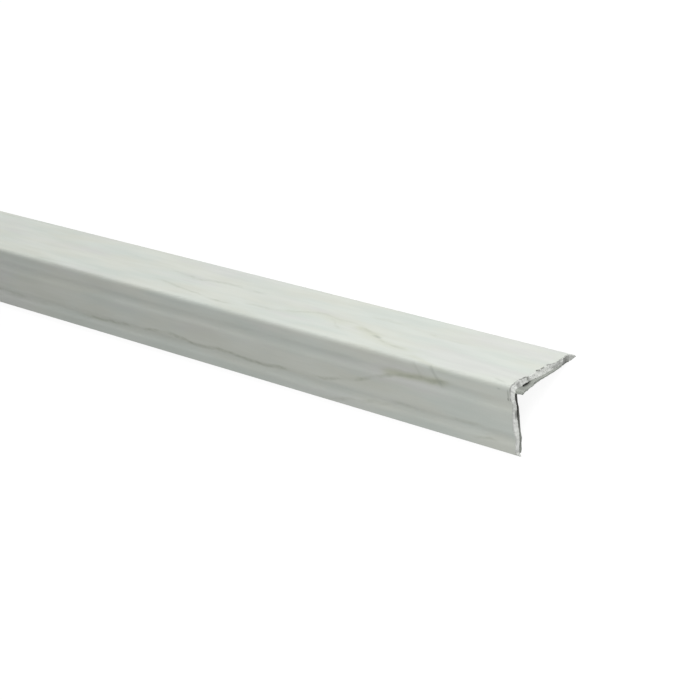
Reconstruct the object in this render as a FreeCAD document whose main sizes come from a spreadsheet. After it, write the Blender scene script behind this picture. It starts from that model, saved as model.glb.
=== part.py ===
import FreeCAD, Part
import math
import os

import Sketcher

# Corner guard moulding: one length of L-shaped plastic strip, extruded in one piece.
# A wide flange and a narrower leg meet at a rounded ridge. The leg has two shallow flutes along
# its outer side. One end is broken off roughly, with a torn ledge under the flange, and the other
# is cut square. The strip lies as it rests on a floor: both free edges down, the ridge on top.
#
# Section, looking along the strip: the ridge is at the sheet's origin, the flange runs along
# +Y and the leg along -Z. The length runs along +X, and the broken end is the +X one.

NODE = "corner_guard"

# Driving dimensions in mm
DIMENSIONS = {
    # length of the strip, as sold
    "length": 1000.0,
    # width of the wide side and of the narrow side, each from the ridge to its free edge
    "flange": 25.0,
    "leg": 20.0,
    # thickness of both sides
    "wall": 2.4,
    # radius outside the ridge, inside the angle, and on the outer arris of both free edges
    "ridge_round": 1.3,
    "inner_round": 0.8,
    "edge_round": 0.3,
    # width of each flute on the leg with its rounded lips, its depth, and from the ridge to the
    # middle of each
    "flute_width": 4.8,
    "flute_depth": 0.25,
    "upper_flute": 5.8,
    "lower_flute": 15.7,
    # from the furthest tip of the broken end back to the end of the ridge
    "break_depth": 2.5,
    # thickness of the torn ledge under the flange
    "ledge": 0.7,
    # width of the slanting underside at the flange's tip, and the tip's thickness above it
    "tip_width": 3.0,
    "tip_edge": 0.3,
    # how far the cutting outlines reach past the solid
    "overrun": 5.0,
}

doc = FreeCAD.newDocument("corner_guard_moulding")
sheet = doc.addObject("Spreadsheet::Sheet", "dims")


class Size:
    """A length in millimetres together with the sheet formula that gives it."""

    def __init__(self, value, formula):
        self.value = float(value)
        self.formula = formula

    def _join(self, other, sign, value):
        other_formula = other.formula if isinstance(other, Size) else repr(float(other))
        return Size(value, f"({self.formula} {sign} {other_formula})")

    def __add__(self, other):
        return self._join(other, "+", self.value + number(other))

    def __sub__(self, other):
        return self._join(other, "-", self.value - number(other))

    def __mul__(self, other):
        return self._join(other, "*", self.value * number(other))

    def __truediv__(self, other):
        return self._join(other, "/", self.value / number(other))

    def __neg__(self):
        return self * -1.0


def number(size):
    """The plain number of a size or of a number."""
    return size.value if isinstance(size, Size) else float(size)


def size(alias):
    """One driving dimension, as a size that follows its cell of the sheet."""
    return Size(DIMENSIONS[alias], f"dims.{alias}")


for row, (alias, value) in enumerate(DIMENSIONS.items(), start=1):
    sheet.set(f"A{row}", alias)
    sheet.set(f"B{row}", str(value))
    sheet.setAlias(f"B{row}", alias)

length = size("length")
flange = size("flange")
leg = size("leg")
wall = size("wall")
ridge_round = size("ridge_round")
inner_round = size("inner_round")
edge_round = size("edge_round")
flute_width = size("flute_width")
flute_depth = size("flute_depth")
upper_flute = size("upper_flute")
lower_flute = size("lower_flute")
break_depth = size("break_depth")
ledge = size("ledge")
tip_width = size("tip_width")
tip_edge = size("tip_edge")
overrun = size("overrun")

ZERO = wall - wall

# The broken end, as seen on the strip. Each point is the share of the side's width, counted
# from the ridge, and the share of break_depth by which the end stands back from its furthest tip.
TORN_SKIN = (
    (0.00, 0.98),
    (0.13, 1.08),
    (0.20, 1.13),
    (0.29, 1.09),
    (0.30, 0.92),
    (0.36, 0.96),
    (0.48, 1.09),
    (0.66, 1.07),
    (0.71, 0.89),
    (0.74, 0.82),
    (0.80, 0.90),
    (0.96, 0.92),
    (0.97, 0.64),
    (1.00, 0.20),
)
TORN_LEDGE = (
    (0.00, 0.90),
    (0.06, 0.86),
    (0.08, 0.16),
    (0.10, 0.00),
    (0.17, 0.10),
    (0.30, 0.40),
    (0.43, 0.64),
    (0.60, 0.74),
    (0.73, 0.80),
    (0.84, 0.92),
    (0.96, 0.92),
    (0.97, 0.64),
    (1.00, 0.20),
)
TORN_LEG = (
    (0.17, 1.00),
    (0.20, 0.94),
    (0.23, 0.74),
    (0.37, 0.84),
    (0.50, 0.94),
    (0.62, 0.94),
    (0.72, 0.78),
    (0.85, 0.84),
    (0.96, 0.92),
    (1.00, 0.72),
)
# The same share for the leg's root, right under the flange, which stands out past all of the leg,
# and for the upper and the lower edge of the slanting underside at the flange's tip
LEG_ROOT_BACK = 0.70
TIP_TOP_BACK = 0.20
TIP_FOOT_BACK = 1.16


def plane(body, role):
    """One of a body's own origin planes, such as YZ_Plane."""
    for feature in body.Origin.OriginFeatures:
        if feature.Role == role:
            return feature
    raise ValueError(f"{body.Label} has no plane {role}")


def flat_sketch(body, name, role, offset=None):
    """A new sketch on one of the body's origin planes, or moved off it by an offset along its
    normal."""
    sketch = body.newObject("Sketcher::SketchObject", name)
    sketch.AttachmentSupport = [(plane(body, role), "")]
    sketch.MapMode = "FlatFace"
    if offset is not None:
        sketch.setExpression("AttachmentOffset.Base.z", offset.formula)
    return sketch


def arc_between(start, end, radius, turn):
    """The arc from start to end. turn is 1 for an arc that runs anticlockwise, -1 for clockwise."""
    chord = end - start
    half = chord.Length / 2.0
    rise = math.sqrt(max(radius**2 - half**2, 0.0))
    across = FreeCAD.Vector(-chord.y, chord.x, 0).normalize() * (rise * turn)
    centre = start + chord * 0.5 + across
    first, last = (start, end) if turn > 0 else (end, start)
    first_angle = math.atan2(first.y - centre.y, first.x - centre.x)
    last_angle = math.atan2(last.y - centre.y, last.x - centre.x)
    circle = Part.Circle(centre, FreeCAD.Vector(0, 0, 1), radius)
    return Part.ArcOfCircle(circle, first_angle, last_angle)


def fix(sketch, kind, where, size):
    """Adds one constraint whose value follows the sheet."""
    index = sketch.addConstraint(Sketcher.Constraint(kind, *where, size.value))
    sketch.setExpression(f"Constraints[{index}]", size.formula)


def outline(sketch, steps):
    """Draws a closed outline. Each step is (across, up) for the corner that a straight stretch
    leads to, or (across, up, radius, turn) for a round one. The last step leads to the start."""
    corners = [FreeCAD.Vector(step[0].value, step[1].value, 0) for step in steps]
    joins = []
    for index, step in enumerate(steps):
        start = corners[index - 1]
        end = corners[index]
        if len(step) == 2:
            piece = sketch.addGeometry(Part.LineSegment(start, end), False)
            joins.append((piece, 1, 2))
            continue
        radius, turn = step[2:]
        piece = sketch.addGeometry(arc_between(start, end, radius.value, turn), False)
        joins.append((piece, 1, 2) if turn > 0 else (piece, 2, 1))
        fix(sketch, "Radius", (piece,), radius)
    for index, (piece, _, tail) in enumerate(joins):
        following, head, _ = joins[(index + 1) % len(joins)]
        sketch.addConstraint(Sketcher.Constraint("Coincident", piece, tail, following, head))
        fix(sketch, "DistanceX", (-1, 1, piece, tail), steps[index][0])
        fix(sketch, "DistanceY", (-1, 1, piece, tail), steps[index][1])


def flute(middle):
    """One flute down the leg: a straight stretch to its upper rim, then a rounded lip, a shallow
    hollow over its middle half and a second lip, three tangent arcs of one radius."""
    half = flute_width / 2.0
    quarter = flute_width / 4.0
    rise = flute_depth / 2.0
    radius = (quarter * quarter + rise * rise) / flute_depth
    return [
        (ZERO, -(middle - half)),
        (rise, -(middle - quarter), radius, 1),
        (rise, -(middle + quarter), radius, -1),
        (ZERO, -(middle + half), radius, 1),
    ]


def draw_section(body):
    """The L section: the flange to the right of the ridge, the leg down from it."""
    sketch = flat_sketch(body, "section", "YZ_Plane")
    steps = [
        (flange, -wall),
        (flange, -edge_round),
        (flange - edge_round, ZERO, edge_round, 1),
        (ridge_round, ZERO),
        (ZERO, -ridge_round, ridge_round, 1),
    ]
    steps += flute(upper_flute)
    steps += flute(lower_flute)
    steps += [
        (ZERO, edge_round - leg),
        (edge_round, -leg, edge_round, 1),
        (wall, -leg),
        (wall, -(wall + inner_round)),
        (wall + inner_round, -wall, inner_round, -1),
    ]
    outline(sketch, steps)
    return sketch


def torn_outline(sketch, points, width, sign, first, first_back):
    """A cutting outline past the broken end. points is one of the torn lists, width is the side
    it crosses, and sign turns it along the flange or down the leg. It starts at first, where the
    end stands back by the share first_back."""
    beyond = length + overrun
    outer = (width + overrun) * sign
    steps = [(beyond, outer), (beyond, first * sign)]
    steps.append((length - break_depth * first_back, first * sign))
    for share, back in points:
        steps.append((length - break_depth * back, width * share * sign))
    steps.append((length - break_depth * points[-1][1], outer))
    outline(sketch, steps)


def tip_outline(sketch):
    """A cutting outline under the flange's tip: it slants back from the tip's thin upper edge to
    the flange's inner side."""
    beyond = length + overrun
    below = -(wall + overrun)
    foot = length - break_depth * TIP_FOOT_BACK
    outline(sketch, [
        (beyond, -tip_edge),
        (length - break_depth * TIP_TOP_BACK, -tip_edge),
        (foot, -wall),
        (foot, below),
        (beyond, below),
    ])


def cut(body, name, sketch, depth):
    """Cuts a sketch into the body by a depth, and makes sure that it took something away."""
    before = body.Shape.Volume
    pocket = body.newObject("PartDesign::Pocket", name)
    pocket.Profile = sketch
    pocket.Type = 0
    pocket.setExpression("Length", depth.formula)
    doc.recompute()
    if not body.Shape.Volume < before:
        raise ValueError(f"{name} cut nothing")
    return pocket


def break_end(body):
    """The rough end: the ledge's outline through the flange, the skin torn back from above it,
    the leg's own ragged edge, and the slanting underside of the flange's tip."""
    ledge_sketch = flat_sketch(body, "ledge_outline", "XY_Plane")
    torn_outline(ledge_sketch, TORN_LEDGE, flange, 1.0, -overrun, TORN_LEDGE[0][1])
    cut(body, "broken_flange", ledge_sketch, wall)

    skin_sketch = flat_sketch(body, "skin_outline", "XY_Plane")
    torn_outline(skin_sketch, TORN_SKIN, flange, 1.0, -overrun, TORN_SKIN[0][1])
    cut(body, "torn_skin", skin_sketch, wall - ledge)

    leg_sketch = flat_sketch(body, "leg_outline", "XZ_Plane")
    torn_outline(leg_sketch, TORN_LEG, leg, -1.0, wall, LEG_ROOT_BACK)
    cut(body, "broken_leg", leg_sketch, wall + inner_round)

    tip_sketch = flat_sketch(body, "tip_outline", "XZ_Plane", tip_width - flange)
    tip_outline(tip_sketch)
    cut(body, "tip_underside", tip_sketch, tip_width + overrun)


def lay_down(body):
    """Rests the strip on the floor on the inner corners of its two free edges, ridge on top."""
    slope = "atan((dims.leg - dims.wall) / (dims.flange - dims.wall))"
    body.Placement.Rotation = FreeCAD.Rotation(FreeCAD.Vector(-1, 0, 0), 30)
    body.setExpression("Placement.Rotation.Angle", slope)
    body.setExpression("Placement.Base.x", "-dims.length / 2")
    body.setExpression("Placement.Base.y", f"(dims.leg * sin({slope}) - dims.flange * cos({slope})) / 2")
    body.setExpression("Placement.Base.z", f"dims.flange * sin({slope}) + dims.wall * cos({slope})")


def make_strip():
    """The whole strip as one body: section, length, broken end, and its place on the floor."""
    body = doc.addObject("PartDesign::Body", NODE)
    body.Label = NODE
    section = draw_section(body)
    strip = body.newObject("PartDesign::Pad", "strip")
    strip.Profile = section
    strip.setExpression("Length", length.formula)
    doc.recompute()
    break_end(body)
    lay_down(body)
    doc.recompute()
    return body


def check_document():
    """Stops if any object of the document failed."""
    for item in doc.Objects:
        if "Invalid" in item.State or "Error" in item.State:
            raise ValueError(f"{item.Name} failed: {item.State}")


def write_step(body):
    """Writes one body's solid to parts, after making sure that it is whole."""
    shape = body.Shape
    if shape.isNull() or not shape.isValid() or len(shape.Solids) != 1:
        raise ValueError(f"{body.Label} is not one valid solid")
    os.makedirs("parts", exist_ok=True)
    shape.exportStep(f"parts/{body.Label}.step")
    box = shape.BoundBox
    print(f"{body.Label}: {shape.Volume / 1000.0:.2f} cm3, {len(shape.Faces)} faces")
    print(f"  x {box.XMin:.3f} to {box.XMax:.3f}, y {box.YMin:.3f} to {box.YMax:.3f}")
    print(f"  z {box.ZMin:.3f} to {box.ZMax:.3f}")


doc.recompute()
corner_guard = make_strip()
check_document()
write_step(corner_guard)
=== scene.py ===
"""Looks of a corner guard moulding: a length of L-shaped plastic strip with a wood-look film.

The strip lies on the floor on its two free edges with its ridge on top, as the frame has it. Its
near end is broken off: the film is torn back, the white core shows below it, and a thin inner
layer stands out further as a ledge. All lengths are in millimetres until a mesh is made.

The strip's own directions are used throughout. "Across" is the distance measured over the outer
side from the ridge: negative up the wide flange, positive down the narrow leg. "Depth" goes from
the outer side into the wall. "Reach" is measured along the strip, from the end of the ridge
outwards.
"""

import logging
import math
from dataclasses import dataclass
from enum import Enum
from typing import Any

import bpy
import numpy as np
from mathutils import Matrix, Vector


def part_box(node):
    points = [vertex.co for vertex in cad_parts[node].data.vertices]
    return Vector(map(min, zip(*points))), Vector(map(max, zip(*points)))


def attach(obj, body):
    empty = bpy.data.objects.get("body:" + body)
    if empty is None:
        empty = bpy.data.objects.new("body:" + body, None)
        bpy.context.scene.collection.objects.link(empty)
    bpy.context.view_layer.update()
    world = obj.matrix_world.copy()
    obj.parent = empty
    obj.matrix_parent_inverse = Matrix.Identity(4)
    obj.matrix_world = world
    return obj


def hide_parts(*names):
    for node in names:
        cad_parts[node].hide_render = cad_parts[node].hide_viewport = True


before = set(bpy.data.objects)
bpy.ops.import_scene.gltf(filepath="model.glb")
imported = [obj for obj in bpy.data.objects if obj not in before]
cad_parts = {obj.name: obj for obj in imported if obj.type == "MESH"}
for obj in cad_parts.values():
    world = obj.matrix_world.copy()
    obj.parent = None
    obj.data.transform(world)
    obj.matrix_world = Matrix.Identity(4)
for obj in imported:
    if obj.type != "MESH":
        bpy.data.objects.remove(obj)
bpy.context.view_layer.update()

LOG = logging.getLogger("corner_guard")
MM = 0.001
NODE = "corner_guard"
BODY = "root"
UNROLLED = "unrolled"
LAYER = "layer"
# Darkness that stands for painted shade in cracks and chips and along the torn edge, and for grime.
SHADE_AND_GRIME = "shade_and_grime"

Array = np.ndarray
Colour = tuple[float, float, float, float]
Outline = tuple[tuple[float, float], ...]


def linear(red: float, green: float, blue: float) -> Colour:
    """Turns a screen colour into the linear colour that a shader takes.

    Args:
        red: Red, 0 to 255.
        green: Green, 0 to 255.
        blue: Blue, 0 to 255.

    Returns:
        The linear red, green, blue and an alpha of 1.
    """
    shares = [channel / 255.0 for channel in (red, green, blue)]
    bent = [s / 12.92 if s <= 0.04045 else ((s + 0.055) / 1.055) ** 2.4 for s in shares]
    return (bent[0], bent[1], bent[2], 1.0)


def smooth(low: float, high: float, value: Array) -> Array:
    """The soft step: 3 t squared minus 2 t cubed, where t runs from 0 at low to 1 at high."""
    share = np.clip((value - low) / (high - low), 0.0, 1.0)
    return share * share * (3.0 - 2.0 * share)


def read(outline: Outline, across: Array) -> Array:
    """The value of an outline at each distance across, straight between its points."""
    places, values = zip(*outline)
    return np.interp(across, places, values)


class Face(Enum):
    """The surfaces of the strip, with their places in its list of materials."""

    FILM = 0
    BREAK = 1
    INSIDE = 2


@dataclass(frozen=True)
class Waves:
    """Seeded roughness: a sum of sine waves whose directions, lengths and phases are random.

    Attributes:
        seed: Start of the random draws.
        shortest: Shortest wavelength in mm.
        longest: Longest wavelength in mm.
        height: Standard height of the sum in mm.
        count: Number of waves.
    """

    seed: int
    shortest: float
    longest: float
    height: float
    count: int = 24

    def __call__(self, first: Array, second: Array) -> Array:
        """Height at each place: the sum of sin(k . place + phase), scaled to the standard height.

        Args:
            first: First coordinate in mm.
            second: Second coordinate in mm, of the same shape.

        Returns:
            The heights in mm, in the same shape.
        """
        draw = np.random.default_rng(self.seed)
        span = math.log(self.longest / self.shortest)
        lengths = self.shortest * np.exp(draw.random(self.count) * span)
        headings = draw.random(self.count) * math.tau
        phases = draw.random(self.count) * math.tau
        turns = math.tau / lengths
        angle = first[..., None] * (turns * np.cos(headings)) + second[..., None] * (turns * np.sin(headings))
        weights = np.sqrt(lengths / lengths.sum())
        return self.height * math.sqrt(2.0) * (np.sin(angle + phases) * weights).sum(axis=-1)


@dataclass(frozen=True)
class Section:
    """The L section of the strip, in mm.

    Attributes:
        flange: Width of the wide side.
        leg: Width of the narrow side.
        wall: Thickness of both sides.
        ridge_round: Outer radius of the ridge.
        inner_round: Radius inside the angle.
        edge_round: Radius of the outer arris of the free edges.
        flute_width: Width of each flute on the leg, with its lips.
        flute_depth: Depth of each flute.
        flutes: Distance of each flute's middle from the ridge.
        pitch: Spacing of the mesh across the strip.
        arris_cells: Mesh cells round each free edge's arris.
        corner_cells: Mesh cells round the ridge.
    """

    flange: float = 25.0
    leg: float = 20.0
    wall: float = 2.4
    ridge_round: float = 1.3
    inner_round: float = 0.8
    edge_round: float = 0.3
    flute_width: float = 4.8
    flute_depth: float = 0.25
    flutes: tuple[float, ...] = (5.8, 15.7)
    pitch: float = 0.11
    arris_cells: int = 5
    corner_cells: int = 36

    @property
    def slope(self) -> float:
        """The angle of the flange to the floor, in radians."""
        return math.atan2(self.leg - self.wall, self.flange - self.wall)

    @property
    def ridge_place(self) -> tuple[float, float]:
        """Where the ridge's sharp corner lies across the floor and above it."""
        across = (self.leg * math.sin(self.slope) - self.flange * math.cos(self.slope)) / 2.0
        up = self.flange * math.sin(self.slope) + self.wall * math.cos(self.slope)
        return across, up

    def flute(self, down: Array) -> Array:
        """Depth of the flutes at a distance down the leg.

        Each flute is three arcs of one radius, tangent where they meet: a hollow over its middle
        half and a lip that rounds over at each side. The radius is (a quarter width squared plus
        half the depth squared) over the depth.

        Args:
            down: Distance down the leg in mm.

        Returns:
            The depth below the leg's flat face in mm.
        """
        quarter = self.flute_width / 4.0
        radius = (quarter**2 + (self.flute_depth / 2.0) ** 2) / self.flute_depth
        depth = np.zeros_like(down)
        for middle in self.flutes:
            away = np.clip(np.abs(down - middle), 0.0, 2.0 * quarter)
            hollow = self.flute_depth - radius + np.sqrt(radius**2 - np.minimum(away, quarter) ** 2)
            lip = radius - np.sqrt(radius**2 - np.minimum(2.0 * quarter - away, quarter) ** 2)
            depth = depth + np.where(away < quarter, hollow, lip)
        return depth

    def paths(self) -> tuple[Array, Array, Array]:
        """The outer and the inner line of the section, as matching points.

        The outer line runs from the flange's free edge round its arris, straight to the ridge,
        round the ridge on an arc, and down the leg with its flutes to its free edge. The inner
        line follows it, with an arc inside the angle.

        Returns:
            The distance across at each point, the outer points and the inner points. A point is
            the distance from the ridge along the flange's direction and down the leg's.
        """
        turn = self.wall + self.inner_round
        quarter = math.pi / 2.0
        arris = self.edge_round
        flange_cells = round((self.flange - arris - turn) / self.pitch)
        leg_cells = round((self.leg - arris - turn) / self.pitch)
        up_flange = np.linspace(self.flange - arris, turn, flange_cells + 1)
        down_leg = np.linspace(turn, self.leg - arris, leg_cells + 1)

        flat = turn - self.ridge_round
        bend = quarter * self.ridge_round
        along = np.linspace(0.0, 2.0 * flat + bend, self.corner_cells + 1)[1:-1]
        angle = np.clip((along - flat) / self.ridge_round, 0.0, quarter)
        past = np.clip(along - flat - bend, 0.0, flat)
        corner_out = np.stack([
            turn - np.clip(along, 0.0, flat) - self.ridge_round * np.sin(angle),
            self.ridge_round * (1.0 - np.cos(angle)) + past,
        ], axis=-1)
        inner_angle = quarter * along / (2.0 * flat + bend)
        corner_in = turn - self.inner_round * np.stack([np.sin(inner_angle), np.cos(inner_angle)], axis=-1)

        edge_share = np.linspace(0.0, 1.0, self.arris_cells + 1)
        edge_angle = quarter * edge_share
        start_out = np.stack([
            self.flange - arris * (1.0 - np.cos(edge_angle)),
            arris * (1.0 - np.sin(edge_angle)),
        ], axis=-1)
        end_out = start_out[::-1, ::-1] + np.array([0.0, self.leg - self.flange])
        flange_out = np.stack([up_flange[1:], np.zeros(flange_cells)], axis=-1)
        leg_out = np.stack([self.flute(down_leg[:-1]), down_leg[:-1]], axis=-1)
        outer = np.concatenate([start_out, flange_out, corner_out, leg_out, end_out])

        flange_in = np.concatenate([self.flange - arris * edge_share, up_flange[1:]])
        leg_in = np.concatenate([down_leg[:-1], self.leg - arris * edge_share[::-1]])
        inner = np.concatenate([
            np.stack([flange_in, np.full(len(flange_in), self.wall)], axis=-1),
            corner_in,
            np.stack([np.full(len(leg_in), self.wall), leg_in], axis=-1),
        ])
        along_flange, down = outer[:, 0], outer[:, 1]
        across = np.where(along_flange > turn, -along_flange, np.where(down > turn, down, down - along_flange))
        return across, outer, inner

    def to_floor(self, points: Array) -> Array:
        """Turns section points into places across the floor and above it, as the strip lies."""
        sine, cosine = math.sin(self.slope), math.cos(self.slope)
        across, up = self.ridge_place
        side = across + points[..., 0] * cosine - points[..., 1] * sine
        height = up - points[..., 0] * sine - points[..., 1] * cosine
        return np.stack([side, height], axis=-1)


@dataclass(frozen=True)
class Mark:
    """A dark patch at the broken end, soft at its rim, in mm. Most are painted shade in cracks and chips; the
    others are smears and faint darkenings.

    Attributes:
        across: Its middle across the strip.
        depth: Its middle in the wall.
        wide: Its half width across the strip.
        deep: Its half width through the wall.
        strength: How dark it is, 0 to 1.
        reach: Its middle along the strip, or None where it covers all of the broken face there.
        long: Its half length along the strip.
    """

    across: float
    depth: float
    wide: float
    deep: float
    strength: float
    reach: float | None = None
    long: float = 0.2

    def __call__(self, across: Array, depth: Array, reach: Array, on_break: Array) -> Array:
        """Darkness at each place: the strength times a flat-topped bell in each direction.

        Args:
            across: Distance across at each place.
            depth: Depth at each place.
            reach: Reach at each place.
            on_break: How much of each place is on the broken face, 0 to 1.

        Returns:
            The darkness, 0 to 1.
        """
        away = ((across - self.across) / self.wide) ** 4 + ((depth - self.depth) / self.deep) ** 4
        if self.reach is None:
            return self.strength * np.exp(-away) * on_break
        return self.strength * np.exp(-away - ((reach - self.reach) / self.long) ** 4)


@dataclass(frozen=True)
class BrokenEnd:
    """The rough end of the strip. Each outline is a short list of (across, value) in mm.

    Attributes:
        film_edge: Reach of the torn film.
        core_foot: Reach of the white core where it meets the inner layer.
        ledge: Reach of the inner layer.
        joint: Depth at which the white core meets the inner layer.
        gap: Width of the crack between them.
        crevice: How far that crack goes back.
        torn_edge_shade: Painted shade in the thin gap along the film's torn edge.
        layer_shade_and_grime: Painted shade and grime on the inner layer's broken edge, on the leg.
        film: Thickness of the film.
        proud: How far the core's upper rim stands out past the film.
        shelf: Depth over which the ledge's outer side slopes.
        calm: Share of the roughness that is left on the leg.
        rows: Mesh rows over the core, the crack, the ledge's outer side and its edge.
        marks: The single dark patches: painted shade in cracks and chips, smears and faint darkenings.
    """

    film_edge: Outline = (
        (-25.0, 1.8), (-24.7, 1.0), (-24.4, 0.1), (-23.5, -0.3), (-22.6, 0.0), (-21.5, 0.25),
        (-20.0, 0.3), (-18.5, 0.65),
        (-17.8, 0.25), (-16.8, -0.05), (-16.5, -0.6), (-15.2, -0.4), (-13.5, -0.4), (-12.4, -0.3),
        (-12.0, -0.7), (-9.0, -0.1), (-7.4, 0.0), (-7.2, -0.7), (-6.0, -0.6), (-5.1, -0.9),
        (-3.2, -0.65), (-1.7, -0.3), (0.9, -0.1), (4.1, -0.3), (4.7, 0.2), (5.2, 0.25), (7.3, 0.05),
        (9.8, -0.2), (12.1, -0.25), (14.3, 0.2), (15.6, 0.2), (17.0, 0.05), (19.3, -0.1), (19.7, 0.6),
        (20.0, 1.3),
    )
    core_foot: Outline = (
        (-25.0, 0.2), (-23.0, -0.1), (-21.0, 0.1), (-2.0, 0.1), (0.0, 0.2), (4.0, 0.3), (6.0, 0.4),
        (10.0, 0.2), (14.5, 0.4), (20.0, 0.3),
    )
    ledge: Outline = (
        (-25.0, -0.4), (-22.8, -0.3), (-20.8, 0.15), (-18.2, 0.5), (-15.0, 0.66), (-10.6, 0.9),
        (-7.2, 1.5), (-3.4, 2.25), (-1.6, 2.38), (1.3, 2.35), (1.9, 0.5), (2.4, 0.35), (5.3, 0.28),
        (6.5, 0.5), (9.2, 0.5), (13.6, 0.39), (15.6, 0.63), (17.1, 0.28), (18.9, 0.15), (20.0, -0.05),
    )
    joint: Outline = (
        (-25.0, 1.9), (-21.6, 1.85), (-16.6, 1.9), (-12.4, 1.8), (-9.0, 1.5), (-8.2, 1.58),
        (-7.2, 1.85), (-6.2, 2.05), (-5.2, 1.95), (-4.2, 1.65), (-1.5, 1.7), (1.0, 1.8), (2.5, 1.55),
        (5.0, 1.42),
        (7.0, 1.6), (9.5, 1.77), (13.6, 1.7), (15.0, 1.45), (17.0, 1.3), (20.0, 1.1),
    )
    gap: Outline = (
        (-25.0, 0.02), (-8.6, 0.03), (-7.6, 0.3), (-6.6, 0.55), (-5.8, 0.62), (-5.2, 0.4), (-4.7, 0.1),
        (-4.0, 0.03), (0.0, 0.03), (3.0, 0.08), (8.0, 0.1), (12.0, 0.04), (20.0, 0.03),
    )
    crevice: Outline = (
        (-25.0, 0.05), (-8.6, 0.1), (-7.6, 1.1), (-6.4, 1.6), (-5.3, 1.2), (-4.6, 0.2), (0.0, 0.15),
        (3.0, 0.5), (8.0, 0.6), (12.0, 0.3), (20.0, 0.2),
    )
    # Painted shade along the film's torn edge, by distance across.
    torn_edge_shade: Outline = (
        (-21.8, 0.1), (-21.2, 0.5), (-20.2, 0.75), (-19.0, 0.8), (-18.4, 0.45), (-17.7, 0.75), (-17.0, 0.5),
        (-16.6, 0.7), (-15.9, 0.7), (-15.5, 0.1), (-14.8, 0.15), (-14.4, 0.9), (-13.2, 0.8),
        (-12.9, 0.2), (-12.6, 0.9), (-11.8, 1.0), (-11.3, 0.2), (-8.2, 0.05), (-7.6, 0.9), (-6.4, 1.0),
        (-5.9, 0.6), (-5.3, 0.9), (-4.8, 0.3), (-3.6, 0.45), (-2.2, 0.8), (-0.8, 0.6), (0.2, 0.6),
        (0.9, 0.8), (1.5, 0.3), (3.2, 0.2), (3.7, 0.6), (4.2, 0.4), (5.0, 0.15), (7.0, 0.2),
        (10.0, 0.2), (12.8, 0.3), (13.4, 0.1), (20.0, 0.1),
    )
    # Painted shade and grime on the inner layer's broken edge, darkest high on the leg.
    layer_shade_and_grime: Outline = (
        (-25.0, 0.0), (1.4, 0.0), (2.0, 0.9), (2.5, 1.0), (7.0, 1.0), (9.0, 0.85), (12.0, 0.6),
        (14.5, 0.35), (17.0, 0.42), (19.0, 0.3), (20.0, 0.0),
    )
    film: float = 0.16
    proud: float = 0.18
    shelf: float = 0.1
    calm: float = 0.35
    rows: tuple[int, int, int, int] = (11, 4, 9, 5)
    marks: tuple[Mark, ...] = (
        # Painted shade in the dark crack under the torn flange, in the two thin cracks beside it, and round them.
        Mark(across=-6.5, depth=1.72, wide=1.8, deep=0.48, strength=1.0, reach=-0.7, long=1.2),
        Mark(across=-7.35, depth=0.5, wide=0.13, deep=0.7, strength=0.6),
        Mark(across=-5.5, depth=0.5, wide=0.15, deep=0.8, strength=0.5),
        Mark(across=-5.6, depth=0.9, wide=2.9, deep=1.2, strength=0.3),
        # A dark smear on the core near the ridge, a faint darkening over the flange side of the break, and a
        # darker leg foot.
        Mark(across=-3.7, depth=0.8, wide=1.1, deep=1.0, strength=0.58),
        Mark(across=-13.5, depth=0.8, wide=12.0, deep=1.3, strength=0.16),
        Mark(across=19.6, depth=0.6, wide=1.3, deep=1.0, strength=0.3),
        # Painted shade over the chipped flange tip and along its top edge.
        Mark(across=-23.0, depth=1.0, wide=1.4, deep=1.4, strength=0.64),
        Mark(across=-25.0, depth=0.0, wide=0.14, deep=0.3, strength=0.45, reach=0.9, long=1.1),
        # Dark spots on the film just behind its torn edge beside the ridge.
        Mark(across=2.6, depth=0.0, wide=1.5, deep=0.2, strength=0.3, reach=-0.8, long=0.28),
        Mark(across=3.8, depth=0.0, wide=0.45, deep=0.2, strength=0.65, reach=-0.95, long=0.18),
        # Painted shade and grime in the dark band on the leg's break.
        Mark(across=8.4, depth=1.3, wide=1.2, deep=0.5, strength=0.65),
    )

    def roughness(self, across: Array) -> Array:
        """Share of the lumps and of the jagged edge at each distance across: less on the leg."""
        return 1.0 - (1.0 - self.calm) * smooth(0.5, 2.5, across)

    def film_reach(self, across: Array) -> Array:
        """Reach of the torn film: its outline with a fine jagged edge added."""
        jagged = Waves(seed=11, shortest=0.5, longest=2.6, height=0.06)
        teeth = jagged(across, np.zeros_like(across)) * self.roughness(across)
        return read(self.film_edge, across) + teeth

    def joint_depth(self, across: Array, wall: Array) -> Array:
        """Depth of the joint, kept clear of the inner side where an arris thins the wall."""
        return np.minimum(read(self.joint, across), wall - 0.35)

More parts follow.
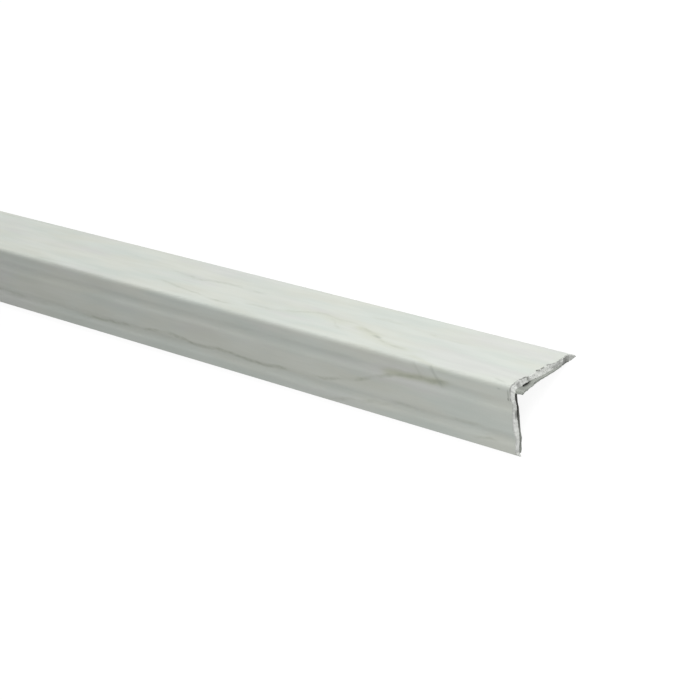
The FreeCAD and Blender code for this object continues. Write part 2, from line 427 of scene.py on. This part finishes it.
    def profile(self, across: Array, wall: Array) -> tuple[Array, Array]:
        """Depth and reach of the broken face's mesh rows at each distance across.

        From the film inwards the face runs straight from the core's rim to its foot, back into
        the crack, out along the ledge's outer side, and down the ledge's edge. Lumps and crumbs
        are added over all of it.

        Args:
            across: Distance across at each column.
            wall: Thickness of the wall at each column.

        Returns:
            The depths and the reaches, by column and row. The first row is the outer side.
        """
        joint = self.joint_depth(across, wall)
        gap, ledge, foot = (read(line, across) for line in (self.gap, self.ledge, self.core_foot))
        rim = self.film_reach(across) + self.proud
        bottom = foot - read(self.crevice, across)
        corners = (
            (np.full_like(across, self.film), rim),
            (joint - gap, foot),
            (joint, bottom),
            (joint + self.shelf, ledge),
            (wall, ledge - self.shelf),
        )
        depths, reaches = [], []
        for rows, (shallow, start), (deep, end) in zip(self.rows, corners, corners[1:]):
            share = np.arange(rows) / rows
            depths.append(shallow[:, None] + (deep - shallow)[:, None] * share)
            reaches.append(start[:, None] + (end - start)[:, None] * share)
        depth = np.concatenate([*depths, wall[:, None]], axis=1)
        reach = np.concatenate([*reaches, corners[-1][1][:, None]], axis=1)
        depth[:, 0] = 0.0
        lumps = Waves(seed=23, shortest=0.6, longest=3.0, height=0.05)
        crumbs = Waves(seed=31, shortest=0.25, longest=0.6, height=0.014)
        wide = np.broadcast_to(across[:, None], depth.shape)
        return depth, reach + (lumps(wide, depth) + crumbs(wide, depth)) * self.roughness(wide)

    def inner_layer(self, joint: Array, depth: Array) -> Array:
        """How much of each place belongs to the inner layer: a short step at the joint."""
        return smooth(-0.03, 0.01, depth - joint)

    def shade_and_grime(self, joint: Array, across: Array, depth: Array, reach: Array) -> Array:
        """Painted shade and grime at each place: the largest darkness of the marks', the torn edge's and the
        layer's.

        Args:
            joint: Depth of the joint at each place.
            across: Distance across at each place.
            depth: Depth at each place.
            reach: Reach at each place.

        Returns:
            The darkness, 0 to 1.
        """
        past_film = reach - self.film_reach(across)
        on_break = np.where(depth > 0.0, 1.0, smooth(-0.12, 0.0, past_film)) * smooth(-4.0, -3.0, reach)
        # Painted shade in the thin gap under the film's torn edge, on the film and the core's rim.
        line = read(self.torn_edge_shade, across) * np.exp(-(((past_film - 0.06) / 0.17) ** 2))
        dark = line * (1.0 - smooth(0.1, 0.4, depth))
        # Painted shade and grime on the inner layer's broken face.
        dark = np.maximum(dark, read(self.layer_shade_and_grime, across) * self.inner_layer(joint, depth) * on_break)
        for mark in self.marks:
            dark = np.maximum(dark, mark(across, depth, reach, on_break))
        return dark


@dataclass
class Strip:
    """The whole strip as one closed mesh.

    Attributes:
        section: The section's sizes.
        broken: The rough end's outlines.
        far: Place of the plain far end along the floor, in mm.
        near: Place of the broken end's furthest tip, in mm.
        tip: Reach of that furthest tip.
        rim_cells: Mesh cells over the bare rim of the core.
        lip: How much the film's torn lip lifts.
        lip_length: Length over which it lifts.
        undercut: How far the bare rim runs back under the lip.
        frayed: Distance from the end past which columns no longer follow the torn edge.
        plain_joint: Depth of the inner layer's even joint at the plain far end.
    """

    section: Section
    broken: BrokenEnd
    far: float
    near: float
    tip: float = 2.5
    rim_cells: int = 3
    lip: float = 0.05
    lip_length: float = 0.35
    undercut: float = 0.06
    frayed: float = 180.0
    plain_joint: float = 1.75

    @property
    def ridge_end(self) -> float:
        """Place of the end of the ridge along the floor, where reach is nought."""
        return self.near - self.tip

    def columns(self) -> Array:
        """Distances back from the film's edge to each mesh column: closest at the edge."""
        fine = np.arange(0.0, 3.0, 0.15)
        coarse = np.geomspace(3.0, self.frayed, 20)
        rest = np.linspace(self.frayed, self.ridge_end - self.far, 16)[1:]
        return np.concatenate([fine, coarse, rest])[::-1]

    def lattice(self) -> tuple[Array, Array, Array]:
        """Places of a block of cells bent into the strip's shape.

        The first index runs across the section, the second through the wall and the third along
        the strip. Along the strip, columns follow the film's torn edge, step down under it by its
        thickness, and run out over the core's rim to the broken face. Through the wall, rows are
        even at the far end and shift along the strip to the broken face's own.

        Returns:
            The places in mm, the distance across and the depth at each.
        """
        across, outer, inner = self.section.paths()
        through = inner - outer
        thickness = np.linalg.norm(through, axis=-1)
        wall = np.minimum(thickness, self.section.wall)
        depth, reach = self.broken.profile(across, wall)
        face = self.ridge_end + reach
        torn = self.broken.film_reach(across)[:, None]

        back = self.columns()
        film_x = self.ridge_end - back + torn * (back <= self.frayed)
        under = self.ridge_end + torn - self.undercut
        rim_x = under + (face[:, :1] - under) * np.linspace(0.0, 1.0, self.rim_cells + 1)
        top_x = np.concatenate([film_x, rim_x], axis=1)
        along = (top_x - self.far) / (top_x[:, -1:] - self.far)
        x = self.far + along[:, None, :] * (face - self.far)[:, :, None]
        x[:, 0] = top_x

        lift_wave = Waves(seed=41, shortest=1.5, longest=6.0, height=0.7)
        lift = self.lip * np.clip(0.4 + lift_wave(across, np.zeros_like(across)), 0.0, 1.6)
        sunk = np.full(top_x.shape, self.broken.film)
        sunk[:, : len(back)] = -lift[:, None] * np.exp(-back / self.lip_length)
        even = np.linspace(0.0, 1.0, depth.shape[1])
        share = even[:, None] + (depth / wall[:, None] - even)[:, :, None] * along[:, None, :]
        measure = self.section.wall + (wall[:, None] - self.section.wall) * along
        deep = share * measure[:, None, :]
        points = outer[:, None, None, :] + through[:, None, None, :] * share[..., None]
        points[:, 0] += (through / thickness[:, None])[:, None, :] * sunk[:, :, None]
        places = np.concatenate([x[..., None], self.section.to_floor(points)], axis=-1)
        wide = np.broadcast_to(across[:, None, None], x.shape)
        return places, wide, deep

    def build(self, materials: list[bpy.types.Material]) -> bpy.types.Object:
        """Makes the mesh from the block's outer surface, with its UV map and attributes.

        Args:
            materials: One material for each kind of face, in order.

        Returns:
            The strip's object.
        """
        places, wide, deep = self.lattice()
        skin = np.zeros(wide.shape, bool)
        skin[[0, -1]] = True
        skin[:, [0, -1]] = True
        skin[:, :, [0, -1]] = True
        numbers = np.full(wide.shape, -1)
        numbers[skin] = np.arange(np.count_nonzero(skin))

        def quads(grid: Array) -> Array:
            """Square faces over a grid of vertex numbers."""
            corners = [grid[:-1, :-1], grid[1:, :-1], grid[1:, 1:], grid[:-1, 1:]]
            return np.stack(corners, axis=-1).reshape(-1, 4)

        edge_column = len(self.columns()) - 1
        sides = [
            (quads(numbers[:, 0, : edge_column + 1]), Face.FILM),
            (quads(numbers[:, 0, edge_column:]), Face.BREAK),
            (quads(numbers[::-1, -1]), Face.INSIDE),
            (quads(numbers[0, ::-1]), Face.FILM),
            (quads(numbers[-1]), Face.FILM),
            (quads(numbers[::-1, :, 0]), Face.BREAK),
            (quads(numbers[:, :, -1]), Face.BREAK),
        ]
        faces = np.concatenate([squares for squares, _ in sides])
        kinds = np.concatenate([np.full(len(squares), kind.value) for squares, kind in sides])
        mesh = bpy.data.meshes.new("corner_guard_strip")
        mesh.from_pydata((places[skin] * MM).tolist(), [], faces.tolist())
        for material in materials:
            mesh.materials.append(material)
        mesh.polygons.foreach_set("material_index", kinds.astype(np.int32))
        mesh.polygons.foreach_set("use_smooth", np.ones(len(faces), bool))
        self.write_maps(mesh, places[skin][:, 0], wide[skin], deep[skin])
        strip = bpy.data.objects.new("corner_guard_strip", mesh)
        bpy.context.scene.collection.objects.link(strip)
        return strip

    def write_maps(self, mesh: bpy.types.Mesh, along: Array, wide: Array, deep: Array) -> None:
        """Writes the unrolled UV map and the attributes that the finishes read.

        The map's first axis is the distance back from the end of the ridge and its second the
        distance across, both in mm.

        Args:
            mesh: The strip's mesh.
            along: Each vertex's place along the floor in mm.
            wide: Distance across at each vertex.
            deep: Depth at each vertex.
        """
        corner = np.zeros(len(mesh.loops), np.int32)
        mesh.loops.foreach_get("vertex_index", corner)
        unrolled = np.stack([self.ridge_end - along, wide], axis=-1)[corner]
        mesh.uv_layers.new(name=UNROLLED).data.foreach_set("uv", unrolled.ravel().astype(np.float32))
        torn_joint = self.broken.joint_depth(wide, np.full_like(wide, self.section.wall))
        joint = np.where(along > 0.0, torn_joint, self.plain_joint)
        values = {
            LAYER: self.broken.inner_layer(joint, deep),
            # Painted shade in cracks, chips and along the torn edge, with grime, stored as darkness.
            SHADE_AND_GRIME: self.broken.shade_and_grime(joint, wide, deep, along - self.ridge_end),
        }
        for name, value in values.items():
            mesh.attributes.new(name, "FLOAT", "POINT").data.foreach_set("value", value.astype(np.float32))


class Wire:
    """A shader socket that takes part in sums: an expression on wires adds its Math nodes."""

    def __init__(self, nodes: "Nodes", socket: bpy.types.NodeSocket) -> None:
        """Wraps a socket of a node tree."""
        self.nodes = nodes
        self.socket = socket

    def math(self, operation: str, *values: "Wire | float") -> "Wire":
        """Adds one Math node of that operation over the values."""
        return self.nodes.node("ShaderNodeMath", {"operation": operation}, dict(enumerate(values)))

    def __add__(self, other: "Wire | float") -> "Wire":
        """This plus the other."""
        return self.math("ADD", self, other)

    def __radd__(self, other: float) -> "Wire":
        """The other plus this."""
        return self.math("ADD", other, self)

    def __sub__(self, other: "Wire | float") -> "Wire":
        """This less the other."""
        return self.math("SUBTRACT", self, other)

    def __rsub__(self, other: float) -> "Wire":
        """The other less this."""
        return self.math("SUBTRACT", other, self)

    def __mul__(self, other: "Wire | float") -> "Wire":
        """This times the other."""
        return self.math("MULTIPLY", self, other)

    def __rmul__(self, other: float) -> "Wire":
        """The other times this."""
        return self.math("MULTIPLY", other, self)

    def __truediv__(self, other: "Wire | float") -> "Wire":
        """This divided by the other."""
        return self.math("DIVIDE", self, other)

    def __abs__(self) -> "Wire":
        """This without its sign."""
        return self.math("ABSOLUTE", self)

    def fraction(self) -> "Wire":
        """What this has past its whole number."""
        return self.math("FRACT", self)

    def largest(self, other: "Wire | float") -> "Wire":
        """The larger of this and the other."""
        return self.math("MAXIMUM", self, other)

    def step(self, low: float, high: float) -> "Wire":
        """The soft step from 0 at low to 1 at high."""
        ends = {"Value": self, "From Min": low, "From Max": high}
        return self.nodes.node("ShaderNodeMapRange", {"interpolation_type": "SMOOTHSTEP"}, ends)


class Nodes:
    """A node tree and the ways of adding to it."""

    def __init__(self, tree: bpy.types.NodeTree) -> None:
        """Takes the tree that is added to."""
        self.tree = tree

    def node(self, kind: str, settings: dict[str, Any], inputs: dict[str | int, Any],
             output: str | int = 0) -> Wire:
        """Adds one node.

        Args:
            kind: The node's type.
            settings: Its own settings, set first. "stops" holds a ramp's places and colours.
            inputs: Values or wires for its sockets, by name or number.
            output: The socket that is returned.

        Returns:
            The wire from that socket.
        """
        node = self.tree.nodes.new(kind)
        for name, value in settings.items():
            if name == "stops":
                self.set_stops(node.color_ramp, value)
            else:
                setattr(node, name, value)
        for key, value in inputs.items():
            self.feed(node.inputs[key], value)
        return Wire(self, node.outputs[output])

    def feed(self, socket: bpy.types.NodeSocket, value: Any) -> None:
        """Links a wire to a socket, or sets the socket to a plain value."""
        if isinstance(value, Wire):
            self.tree.links.new(value.socket, socket)
        else:
            socket.default_value = value

    @staticmethod
    def set_stops(ramp: bpy.types.ColorRamp, stops: list[tuple[float, Colour]]) -> None:
        """Sets a ramp's stops, with a smooth curve from one to the next."""
        ramp.interpolation = "CARDINAL"
        while len(ramp.elements) < len(stops):
            ramp.elements.new(1.0)
        for element, (place, colour) in zip(ramp.elements, stops):
            element.position = place
            element.color = colour

    def vector(self, x: Wire | float, y: Wire | float, z: Wire | float = 0.0) -> Wire:
        """A vector of three numbers."""
        return self.node("ShaderNodeCombineXYZ", {}, {0: x, 1: y, 2: z})

    def parts(self, vector: Wire) -> tuple[Wire, Wire, Wire]:
        """The three numbers of a vector or of a colour."""
        split = self.node("ShaderNodeSeparateXYZ", {}, {0: vector})
        outputs = split.socket.node.outputs
        return split, Wire(self, outputs[1]), Wire(self, outputs[2])

    def noise(self, vector: Wire, detail: float = 2.0, roughness: float = 0.5) -> Wire:
        """Smooth noise about a half, with a lump to each unit of the vector."""
        values = {"Vector": vector, "Scale": 1.0, "Detail": detail, "Roughness": roughness}
        return self.node("ShaderNodeTexNoise", {}, values)

    def mix(self, share: Wire | float, first: Any, second: Any) -> Wire:
        """Two colours mixed by a share."""
        return self.node("ShaderNodeMix", {"data_type": "RGBA"}, {0: share, 6: first, 7: second}, output=2)

    def seen(self) -> Wire:
        """One for what the camera, a reflection or a clear surface shows, and nought for light."""
        outputs = self.node("ShaderNodeLightPath", {}, {}).socket.node.outputs
        rays = [Wire(self, outputs[f"Is {kind} Ray"]) for kind in ("Camera", "Glossy", "Transmission")]
        return rays[0].largest(rays[1]).largest(rays[2])


class Surface(Nodes):
    """One material's nodes, round its Principled shader."""

    def __init__(self, name: str) -> None:
        """Makes a material of that name."""
        self.material = bpy.data.materials.new(name)
        self.material.use_nodes = True
        super().__init__(self.material.node_tree)
        self.principled = self.tree.nodes["Principled BSDF"]

    def set(self, **values: Any) -> None:
        """Feeds values or wires to the Principled shader, by socket name with _ for a space."""
        for name, value in values.items():
            self.feed(self.principled.inputs[name.replace("_", " ")], value)

    def attribute(self, name: str) -> Wire:
        """A number kept at each vertex."""
        return self.node("ShaderNodeAttribute", {"attribute_name": name}, {}, output="Fac")

    def unrolled(self) -> tuple[Wire, Wire]:
        """The distance back from the end and the distance across, in mm, from the UV map."""
        along, across, _ = self.parts(self.node("ShaderNodeUVMap", {"uv_map": UNROLLED}, {}))
        return along, across

    def bump(self, height: Wire, distance: float) -> Wire:
        """The normal over a height from 0 to 1 that is distance mm tall."""
        return self.node("ShaderNodeBump", {}, {"Strength": 1.0, "Distance": distance * MM, "Height": height})


@dataclass(frozen=True)
class Vein:
    """One grain line of the printed wood.

    Attributes:
        path: Its (distance back from the end, distance across) points in mm.
        width: Half its width in mm.
        strength: How strongly it shows.
        fade: Length over which each of its ends fades out.
    """

    path: Outline
    width: float
    strength: float
    fade: float = 5.0

    def mask(self, surface: Surface, along: Wire, across: Wire, length: float, span: float) -> Wire:
        """How much of each place is in the vein.

        Args:
            surface: The material.
            along: Distance back from the end at each place.
            across: Distance across at each place.
            length: Distance along that the ramp covers.
            span: Distance across that the ramp's red covers.

        Returns:
            The share, 0 to 1, times the vein's strength.
        """
        ordered = sorted(self.path)
        (start, start_across), (end, end_across) = ordered[0], ordered[-1]
        points = [(start - self.fade, start_across, 0.0), *((s, w, 1.0) for s, w in ordered)]
        points.append((end + self.fade, end_across, 0.0))
        stops = [(max(s / length, 0.0), (w / span + 0.5, shown, 0.0, 1.0)) for s, w, shown in points]
        ramp = surface.node("ShaderNodeValToRGB", {"stops": stops}, {0: along / length})
        middle, shown, _ = surface.parts(ramp)
        away = abs(across - (middle - 0.5) * span)
        return (1.0 - away.step(0.0, self.width)) * shown * self.strength


@dataclass(frozen=True)
class WoodFilm:
    """The printed film: bleached oak, grey with a green cast, matt, with a faint pressed grain.

    The print is worked out on the unrolled map. Long noise makes its streaks, fibres and pores.
    Its veins follow drawn lines near the broken end and the level lines of a slow noise beyond.

    Attributes:
        cool: The print's main colour where it is greener.
        warm: The print's main colour where it is yellower.
        ashen: The print's main colour where it is grey.
        pale: Its light streaks.
        dark: Its dark grain and veins.
        olive: The tint beside the veins.
        shade_and_soot: Painted shade along the film's torn edge, and smears near the broken end.
        shine: Strength of the film's reflection.
        drawn: Distance along that the drawn lines cover in mm.
        span: Distance across that a drawn line's ramp covers in mm.
        veins: The drawn grain lines; the first two also add painted shade along the lower flute's upper flank.
        stains: Short dark spots and smears.
        tints: Wide soft olive patches.
        ashes: Wide soft grey patches.
    """

    cool: Colour = linear(218, 225, 218)
    warm: Colour = linear(223, 226, 216)
    ashen: Colour = linear(222, 223, 220)
    pale: Colour = linear(231, 235, 228)
    dark: Colour = linear(176, 182, 171)
    olive: Colour = linear(200, 204, 176)
    # Dark grey for painted shade along the torn edge and for smears.
    shade_and_soot: Colour = linear(84, 84, 78)
    shine: float = 0.14
    drawn: float = 200.0
    span: float = 60.0
    veins: tuple[Vein, ...] = (
        # This vein and the next run along the lower flute's upper flank over most of their length, adding painted
        # shade to the flute there as well as the print's grain.
        Vein(((180, 15.6), (158, 14.7), (145, 13.7), (136, 13.3), (126, 14.5), (115, 13.7), (108, 14.3),
              (96, 14.5), (86, 13.8), (78, 13.5), (70, 13.0), (65, 11.7), (58, 10.7), (52, 9.0),
              (48, 7.5), (43, 6.0), (38, 5.4), (28, 4.7), (24, 4.0)), 0.95, 0.8),
        Vein(((70, 19.5), (63, 18.0), (54, 17.0), (48, 16.0), (43, 14.7), (33, 14.5), (25, 14.5),
              (14, 14.0)), 0.9, 0.4),
        Vein(((148, -7.5), (140, -6.5), (128, -5.0), (116, -4.0)), 0.9, 0.45),
        Vein(((147, -14.5), (138, -13.7), (130, -15.0), (122, -15.5), (113, -15.0)), 1.2, 0.5),
        Vein(((106, -7.0), (96, -7.8), (89, -10.0), (84, -12.0), (78, -12.4), (73, -11.4), (66, -11.0),
              (62, -9.8), (58, -8.6), (55, -7.3), (51, -5.6), (45, -5.2)), 1.15, 0.36),
        Vein(((76, -10.8), (73, -8.6), (70, -7.0)), 0.9, 0.3, fade=2.0),
        Vein(((64, -17.8), (52, -17.2), (40, -16.5), (32, -16.0)), 1.4, 0.3),
        Vein(((13, 17.5), (8, 17.2)), 0.6, 0.5, fade=2.5),
    )
    stains: tuple[Vein, ...] = (
        Vein(((56.0, -7.6), (54.5, -7.2)), 1.0, 0.6, fade=1.6),
        Vein(((46, -5.0), (43, -4.6)), 0.8, 0.2, fade=2.5),
        Vein(((34.2, 0.9), (32.4, 3.6)), 1.6, 0.22, fade=1.4),
        Vein(((28.0, 0.5), (27.0, 2.4), (25.0, 4.6)), 1.9, 0.5, fade=1.2),
        Vein(((32, 4.5), (26, 4.8)), 1.3, 0.2, fade=4.0),
        Vein(((6.5, -2.3), (3.6, -1.7)), 0.7, 0.35, fade=1.2),
        Vein(((4.1, 1.3), (3.7, 1.3)), 0.5, 0.6, fade=0.6),
    )
    tints: tuple[Vein, ...] = (
        Vein(((92, -9.5), (82, -11.0), (72, -10.0)), 3.2, 0.35),
        Vein(((64, -9.6), (56, -8.2)), 2.2, 0.75, fade=3.0),
        Vein(((58, -6.5), (42, -4.5)), 2.4, 0.35, fade=6.0),
        Vein(((44, 5.4), (26, 4.4)), 1.9, 1.3, fade=5.0),
        Vein(((36, -2.0), (24, 0.5)), 1.6, 0.5, fade=4.0),
    )
    ashes: tuple[Vein, ...] = (
        Vein(((26, -21.0), (2, -19.5)), 5.5, 1.0, fade=14.0),
    )

    def material(self) -> bpy.types.Material:
        """Makes the film's material."""
        film = Surface("wood_film")
        along, across = film.unrolled()
        sway = (film.noise(film.vector(along * 0.017, across * 0.09)) - 0.5) * 3.0
        line = across + sway
        broad = film.noise(film.vector(along * 0.022, line * 0.16), detail=3.0).step(0.3, 0.7)
        tint = film.noise(film.vector(along * 0.028 + 7.0, across * 0.13), detail=3.0).step(0.35, 0.65)
        ash = film.noise(film.vector(along * 0.02 + 31.0, across * 0.1), detail=3.0).step(0.48, 0.7)
        streak = film.noise(film.vector(along * 0.045, line * 0.36), detail=4.0).step(0.3, 0.7)
        fibre = film.noise(film.vector(along * 0.16, line * 2.6), detail=3.0).step(0.25, 0.75)
        pores = film.noise(film.vector(along * 0.3, line * 5.0)).step(0.62, 0.74)
        wobble = (film.noise(film.vector(along * 0.16, across * 0.2), detail=3.0) - 0.5) * 1.6

        olive = self.drawn_share(self.tints, film, along, across + wobble)
        stain = self.drawn_share(self.stains, film, along, across + wobble * 0.5)
        ash = ash.largest(self.drawn_share(self.ashes, film, along, across))
        vein = self.broken_up(self.grain_lines(film, along, across + wobble, line), film, along, line)
        colour = film.mix(tint, self.cool, self.warm)
        colour = film.mix(ash * 0.8, colour, self.ashen)
        colour = film.mix(broad * 0.28 + streak * 0.2, colour, self.pale)
        colour = film.mix((1.0 - fibre) * 0.03 + pores * 0.05 + (1.0 - streak) * 0.07, colour, self.dark)
        colour = film.mix(olive * 0.4 + vein * 0.3, colour, self.olive)
        colour = film.mix(vein * 0.7 + stain * 0.75, colour, self.dark)
        # Painted shade along the torn edge, and smears near the broken end.
        colour = film.mix(film.attribute(SHADE_AND_GRIME), colour, self.shade_and_soot)
        height = fibre * 0.5 - pores * 0.6 - vein * 0.5 + streak * 0.3
        film.set(
            Base_Color=colour,
            Roughness=0.56 + 0.1 * fibre - 0.06 * streak,
            Specular_IOR_Level=self.shine,
            Normal=film.bump(height, 0.006),
        )
        return film.material

    def drawn_share(self, drawn: tuple[Vein, ...], film: Surface, along: Wire, across: Wire) -> Wire:
        """The share of each place in any of the drawn lines.

        Args:
            drawn: The lines.
            film: The material.
            along: Distance back from the end.
            across: Distance across.

        Returns:
            The sum of the lines' masks.
        """
        share = 0.0
        for each in drawn:
            share = each.mask(film, along, across, self.drawn, self.span) + share
        return share

    def grain_lines(self, film: Surface, along: Wire, across: Wire, line: Wire) -> Wire:
        """The veins: the drawn ones, and past them the level lines of a slow noise.

        Args:
            film: The material.
            along: Distance back from the end.
            across: Distance across.
            line: Distance across as the print's grain sways.

        Returns:
            The share of each place in a vein.
        """
        vein = self.drawn_share(self.veins, film, along, across)
        level = (film.noise(film.vector(along * 0.009, line * 0.1), detail=1.0) * 2.3).fraction()
        contour = (1.0 - abs(level - 0.5).step(0.0, 0.09)) * along.step(155.0, 190.0)
        return vein + contour * film.noise(film.vector(along * 0.02, line * 0.2)).step(0.4, 0.6) * 0.6

    def broken_up(self, vein: Wire, film: Surface, along: Wire, line: Wire) -> Wire:
        """The veins broken into soft dashes: long noise picks stretches, short noise frays them.

        Args:
            vein: The share of each place in a vein.
            film: The material.
            along: Distance back from the end.
            line: Distance across as the print's grain sways.

        Returns:
            The share, lower where a vein fades out.
        """
        stretches = film.noise(film.vector(along * 0.09, line * 0.25), detail=3.0).step(0.38, 0.6)
        frayed = film.noise(film.vector(along * 0.4, line * 1.1), detail=3.0).step(0.3, 0.7)
        return vein * (0.2 + 0.8 * stretches) * (0.45 + 0.55 * frayed)


@dataclass(frozen=True)
class BrokenPlastic:
    """The bare plastic of the break and of the plain cut: a white core over a grey inner layer.

    Attributes:
        core: The core's colour.
        dusty: The core where it is scuffed.
        inner: The inner layer's colour.
        shade_and_soot: Painted shade in deep cracks and chips, and grime.
        grain: Size of the core's grains in mm.
        patch: Size of its scuffed patches in mm.
    """

    core: Colour = linear(230, 232, 228)
    dusty: Colour = linear(214, 217, 211)
    inner: Colour = linear(163, 167, 160)
    # Near black for painted shade in deep cracks and chips, and for grime.
    shade_and_soot: Colour = linear(58, 58, 54)
    grain: float = 0.7
    patch: float = 2.0

    def material(self) -> bpy.types.Material:
        """Makes the broken plastic's material."""
        plastic = Surface("broken_plastic")
        place = plastic.node("ShaderNodeTexCoord", {}, {}, output="Object")

        def lumps(size: float, detail: float) -> Wire:
            """Noise with lumps of that size in mm."""
            scaled = plastic.node("ShaderNodeVectorMath", {"operation": "SCALE"}, {0: place, 3: 1.0 / (size * MM)})
            return plastic.noise(scaled, detail)

        grains = lumps(self.grain, 3.0)
        scuffed = lumps(self.patch, 1.0).step(0.4, 0.7) * 0.6 + grains.step(0.55, 0.75) * 0.4
        colour = plastic.mix(scuffed, self.core, self.dusty)
        colour = plastic.mix(plastic.attribute(LAYER), colour, self.inner)
        # Painted shade in cracks and chips, and grime.
        colour = plastic.mix(plastic.attribute(SHADE_AND_GRIME), colour, self.shade_and_soot)
        plastic.set(Base_Color=colour, Roughness=0.68 + 0.15 * grains, Normal=plastic.bump(grains, 0.018))
        return plastic.material


@dataclass(frozen=True)
class InsidePlastic:
    """The plain inner side: grey-green plastic with faint lines left by the extruder.

    Attributes:
        colour: The plastic's colour.
        rubbed: Its colour along the paler lines.
    """

    colour: Colour = linear(163, 167, 160)
    rubbed: Colour = linear(178, 181, 175)

    def material(self) -> bpy.types.Material:
        """Makes the inner side's material."""
        inside = Surface("inside_plastic")
        along, across = inside.unrolled()
        lines = inside.noise(inside.vector(along * 0.004, across * 2.4), detail=4.0, roughness=0.65)
        clouds = inside.noise(inside.vector(along * 0.05, across * 0.2))
        share = lines.step(0.35, 0.7) * 0.5 + clouds.step(0.3, 0.7) * 0.3
        colour = inside.mix(share, self.colour, self.rubbed)
        inside.set(Base_Color=colour, Roughness=0.48 + 0.12 * clouds, Normal=inside.bump(lines, 0.02))
        return inside.material


@dataclass(frozen=True)
class Lamp:
    """A square area lamp.

    Attributes:
        name: Its name.
        place: Its place in metres.
        aim: The point that it faces, in metres.
        size: Its side in metres.
        power: Its power in watts.
    """

    name: str
    place: tuple[float, float, float]
    aim: tuple[float, float, float]
    size: float
    power: float

    def build(self) -> None:
        """Makes the lamp."""
        data = bpy.data.lights.new(self.name, "AREA")
        data.shape = "SQUARE"
        data.size = self.size
        data.energy = self.power
        lamp = bpy.data.objects.new(self.name, data)
        lamp.location = self.place
        lamp.rotation_euler = (Vector(self.aim) - Vector(self.place)).to_track_quat("-Z", "Y").to_euler()
        bpy.context.scene.collection.objects.link(lamp)


@dataclass(frozen=True)
class Studio:
    """Floor, lights and camera.

    Attributes:
        lens: Focal length in mm on the sensor's width, as solved from the photograph.
        sensor: Width of the sensor in mm.
        place: The camera's place in mm.
        heading: Where it looks, in degrees from +Y towards +X.
        dip: How far it looks down, in degrees.
        roll: How far it leans to its right, in degrees.
        floor_half: Half the floor's side in metres.
        floor_colour: The floor's colour.
        floor_share: Share of the floor's own shading that the camera sees.
        floor_glow: White that is added to it for the camera.
        sky: Strength of the world's light.
        lamps: The lamps.
    """

    lens: float = 111.3
    sensor: float = 36.0
    place: tuple[float, float, float] = (847.5, -162.8, 432.4)
    heading: float = -68.885
    dip: float = 43.555
    roll: float = 45.443
    floor_half: float = 6.0
    floor_colour: Colour = linear(180, 180, 180)
    floor_share: float = 0.42
    floor_glow: float = 0.9
    sky: float = 0.3
    lamps: tuple[Lamp, ...] = (
        Lamp("key", (1.12, 1.325, 0.536), (0.4, 0.0, 0.0), 0.5, 12.6),
        Lamp("top", (0.88, -0.15, 1.2), (0.4, 0.0, 0.0), 0.5, 0.9),
        Lamp("graze", (0.85, 0.55, 1.04), (0.42, 0.0, 0.0), 0.3, 2.7),
        Lamp("near", (0.72, -0.19, 0.32), (0.46, 0.0, 0.0), 0.16, 0.5),
    )

    def camera(self) -> None:
        """Makes the camera at the photograph's viewing angle."""
        data = bpy.data.cameras.new("camera")
        data.lens = self.lens
        data.sensor_width = self.sensor
        camera = bpy.data.objects.new("camera", data)
        bpy.context.scene.collection.objects.link(camera)
        heading = Matrix.Rotation(-math.radians(self.heading), 4, "Z")
        dip = Matrix.Rotation(math.radians(90.0 - self.dip), 4, "X")
        roll = Matrix.Rotation(-math.radians(self.roll), 4, "Z")
        camera.matrix_world = Matrix.Translation(Vector(self.place) * MM) @ heading @ dip @ roll
        bpy.context.scene.camera = camera

    def floor(self) -> None:
        """Makes the white floor, which keeps the object's shadow."""
        half = self.floor_half
        corners = [(-half, -half, 0.0), (half, -half, 0.0), (half, half, 0.0), (-half, half, 0.0)]
        mesh = bpy.data.meshes.new("floor")
        mesh.from_pydata(corners, [], [(0, 1, 2, 3)])
        floor = bpy.data.objects.new("floor", mesh)
        bpy.context.scene.collection.objects.link(floor)
        white = Surface("floor")
        white.set(Base_Color=self.floor_colour, Roughness=0.9, Specular_IOR_Level=0.0)
        hidden = 1.0 - self.floor_share
        own = Wire(white, white.principled.outputs[0])
        glow = white.node("ShaderNodeEmission", {}, {"Strength": self.floor_glow / hidden})
        mixed = white.node("ShaderNodeMixShader", {}, {0: white.seen() * hidden, 1: own, 2: glow})
        white.feed(white.tree.nodes["Material Output"].inputs["Surface"], mixed)
        mesh.materials.append(white.material)

    def world(self) -> None:
        """Makes the even light all round, which the camera sees as white."""
        world = bpy.context.scene.world or bpy.data.worlds.new("world")
        bpy.context.scene.world = world
        world.use_nodes = True
        nodes = Nodes(world.node_tree)
        background = world.node_tree.nodes["Background"]
        nodes.feed(background.inputs["Color"], (1.0, 1.0, 1.0, 1.0))
        nodes.feed(background.inputs["Strength"], nodes.seen() * (1.0 - self.sky) + self.sky)

    def build(self) -> None:
        """Makes the floor, the world, the lamps and the camera."""
        self.floor()
        self.world()
        for lamp in self.lamps:
            lamp.build()
        self.camera()


def main() -> None:
    """Builds the strip and the studio."""
    logging.basicConfig(level=logging.INFO, format="%(name)s: %(message)s")
    low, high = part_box(NODE)
    materials = [WoodFilm().material(), BrokenPlastic().material(), InsidePlastic().material()]
    strip = Strip(Section(), BrokenEnd(), far=low.x / MM, near=high.x / MM)
    piece = strip.build(materials)
    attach(piece, BODY)
    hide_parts(NODE)
    LOG.info("strip: %d vertices, %d faces", len(piece.data.vertices), len(piece.data.polygons))
    Studio().build()
    bpy.context.scene.view_settings.view_transform = "Standard"


if __name__ == "__main__":
    main()
